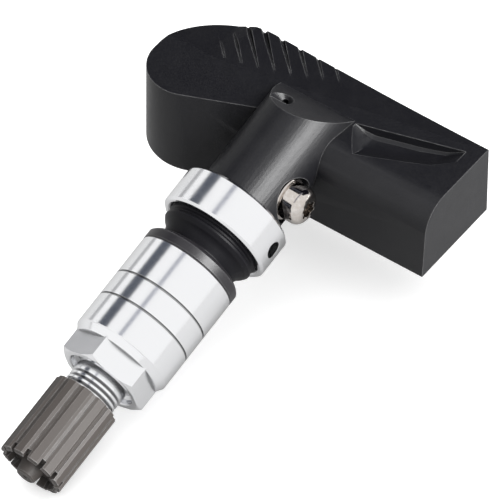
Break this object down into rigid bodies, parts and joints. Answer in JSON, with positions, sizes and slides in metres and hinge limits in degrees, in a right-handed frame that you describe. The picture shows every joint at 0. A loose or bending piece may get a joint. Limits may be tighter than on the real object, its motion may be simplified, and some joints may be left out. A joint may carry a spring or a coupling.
{
  "type": "tyre pressure sensor",
  "caption": "Wheel-mounted tyre pressure sensor: a black moulded housing clamped to an angled aluminium valve with a sleeve nut, rubber rim seal and ribbed cap.",
  "frame": {"origin": "where the valve axis crosses the rim seat face of the valve collar", "axes": "+X along the housing to its flat end, +Y away from the rim hole to the back of the housing, +Z out of the top, square to the base; the valve leaves towards -Y and dips by 17 degrees"},
  "size_m": [0.0494, 0.0727, 0.0287],
  "materials": {
    "board_laminate": "green glass laminate",
    "cap_liner": "soft rubber",
    "cap_plastic": "taupe grey moulded plastic",
    "cell_steel": "pressed nickel steel",
    "chip_black": "moulded epoxy",
    "chip_ceramic": "fired ceramic",
    "copper_wire": "enamelled copper",
    "core_brass": "nickel plated brass",
    "core_seal": "red seal compound",
    "cover_plastic": "black moulded plastic",
    "crystal_can": "drawn metal can",
    "ferrite": "pressed ferrite",
    "housing_plastic": "black moulded plastic, fine texture",
    "screw_steel": "bright nickel plate",
    "seal_rubber": "black moulded rubber",
    "spring_steel": "drawn wire",
    "tab_nickel": "nickel strip",
    "turned_aluminium": "bright satin, turned",
    "washer_plastic": "dark grey moulded plastic"
  },
  "bodies": {
    "root": {"antenna": "copper_wire", "base_cover": "cover_plastic", "battery_tab_negative": "tab_nickel", "battery_tab_positive": "tab_nickel", "chip_capacitors": "chip_ceramic", "chip_resistors": "chip_black", "circuit_board": "board_laminate", "coin_cell": "cell_steel", "core_barrel": "core_brass", "core_barrel_seal": "core_seal", "core_plug": "core_brass", "core_spring": "spring_steel", "crystal": "crystal_can", "fixing_screw": "screw_steel", "housing": "housing_plastic", "lf_coil_core": "ferrite", "lf_coil_winding": "copper_wire", "port_gasket": "seal_rubber", "pressure_sensor": "chip_black", "rim_seal": "seal_rubber", "screw_washer": "screw_steel", "valve_stem": "turned_aluminium"},
    "nut_washer": {"nut_washer": "washer_plastic"},
    "nut": {"sleeve_nut": "turned_aluminium"},
    "cap_liner": {"cap_seal": "cap_liner"},
    "cap": {"cap_body": "cap_plastic"},
    "core_pin_set": {"core_pin": "core_brass", "core_cup": "core_brass", "core_cup_seal": "core_seal"}
  },
  "joints": [
    {"name": "nut_travel", "type": "slide", "parent": "root", "child": "nut_washer", "axis": [0, -0.9563, -0.2924], "range_m": [0, 0.003]},
    {"name": "nut_turn", "type": "hinge", "parent": "nut_washer", "child": "nut", "pos_m": [0, 0, 0], "axis": [0, -0.9563, -0.2924], "range_deg": [0, 1360.5]},
    {"name": "cap_travel", "type": "slide", "parent": "root", "child": "cap_liner", "axis": [0, -0.9563, -0.2924], "range_m": [0, 0.0105]},
    {"name": "cap_turn", "type": "hinge", "parent": "cap_liner", "child": "cap", "pos_m": [0, 0, 0], "axis": [0, -0.9563, -0.2924], "range_deg": [0, 4761]},
    {"name": "core_press", "type": "slide", "parent": "root", "child": "core_pin_set", "axis": [0, 0.9563, 0.2924], "range_m": [0, 0.0013], "stiffness_N_per_m": 1500, "springref_m": -0.002, "deforming": ["core_spring"]}
  ],
  "couplings": [
    {"joint": "nut_turn", "follows": "nut_travel", "rad_per_m": 7913.3},
    {"joint": "cap_turn", "follows": "cap_travel", "rad_per_m": 7913.3}
  ]
}
